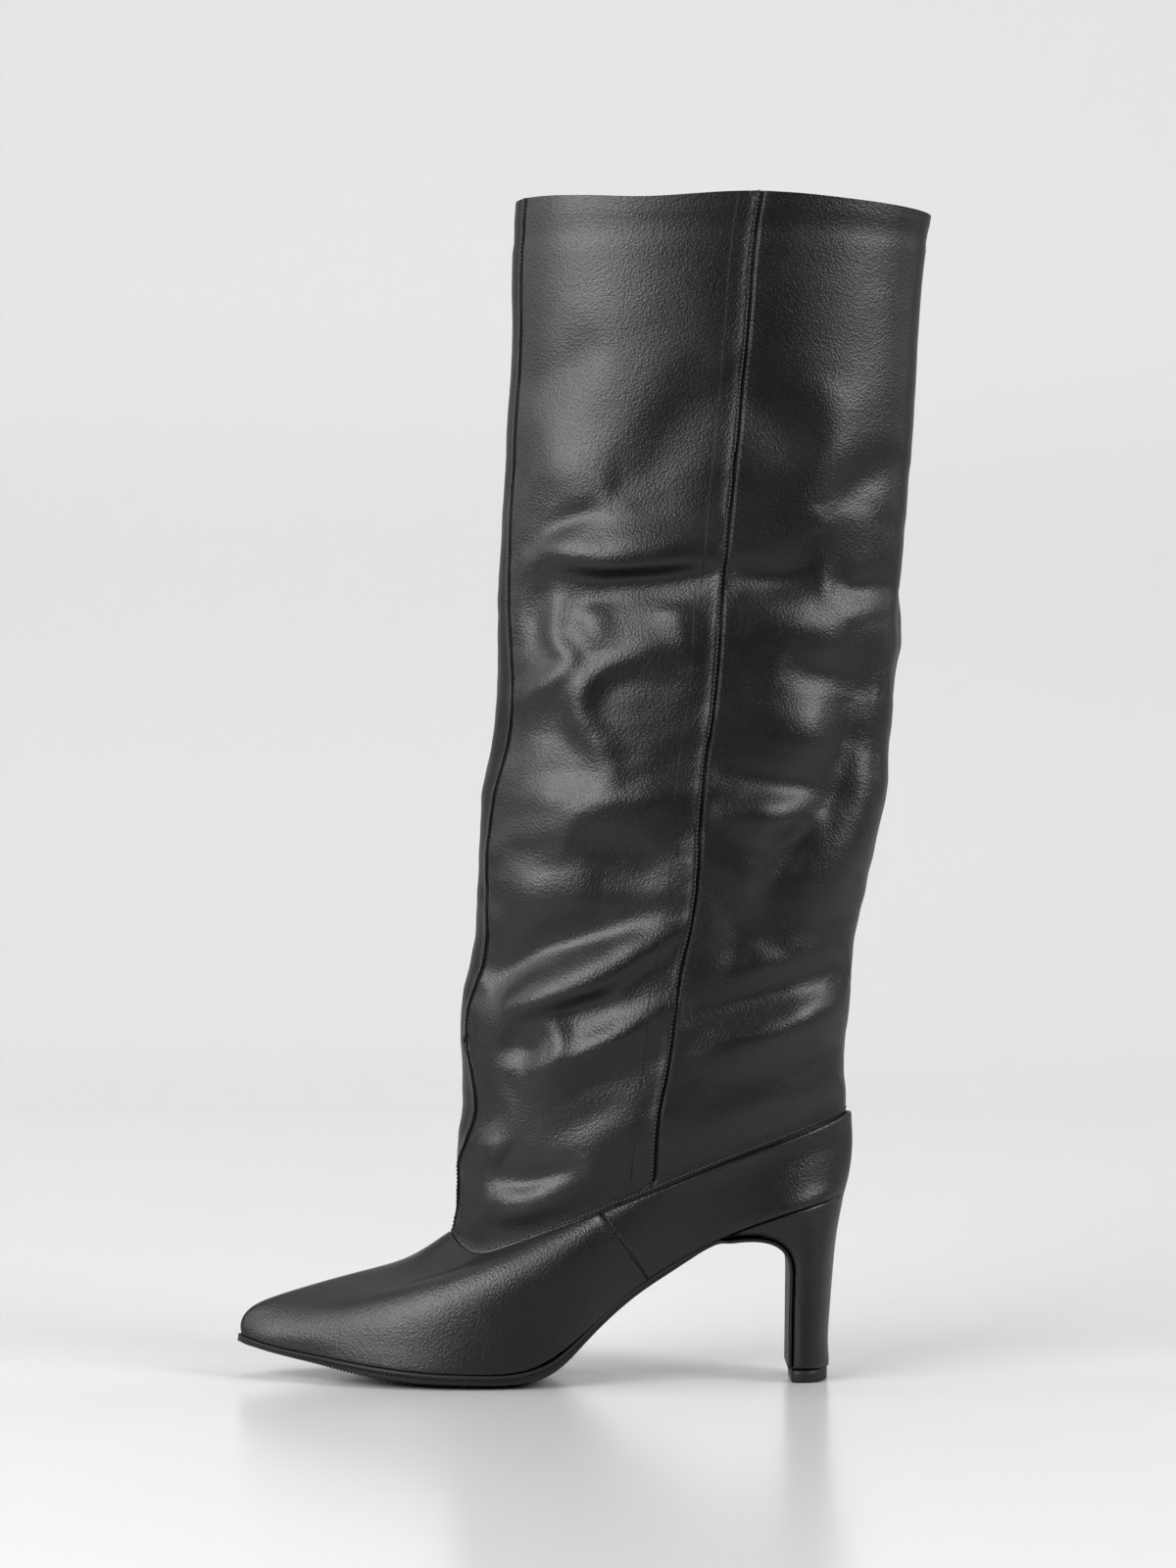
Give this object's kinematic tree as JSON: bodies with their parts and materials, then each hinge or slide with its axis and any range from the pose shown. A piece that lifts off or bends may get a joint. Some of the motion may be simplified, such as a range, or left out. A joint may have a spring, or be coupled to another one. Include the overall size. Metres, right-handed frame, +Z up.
{
  "type": "slouch boot",
  "caption": "Knee-high slouch boot in black leather, a loose pull-on tube on a pointed foot with a slim covered heel.",
  "frame": {"origin": "on the floor, on the underside of the top piece under the heel", "axes": "+Z up, the toe points along -X, and the outer side of the foot faces -Y"},
  "size_m": [0.2838, 0.0888, 0.4792],
  "materials": {
    "upper": "smooth black leather, semi-gloss",
    "shaft": "smooth black leather, semi-gloss, slack",
    "insole": "dark sock lining",
    "outsole": "matte black rubber",
    "heel": "block covered in smooth black leather",
    "top_piece": "matte black rubber"
  },
  "bodies": {
    "root": {"upper": "upper", "shaft": "shaft", "insole": "insole", "outsole": "outsole", "heel": "heel", "top_piece": "top_piece"}
  },
  "joints": []
}
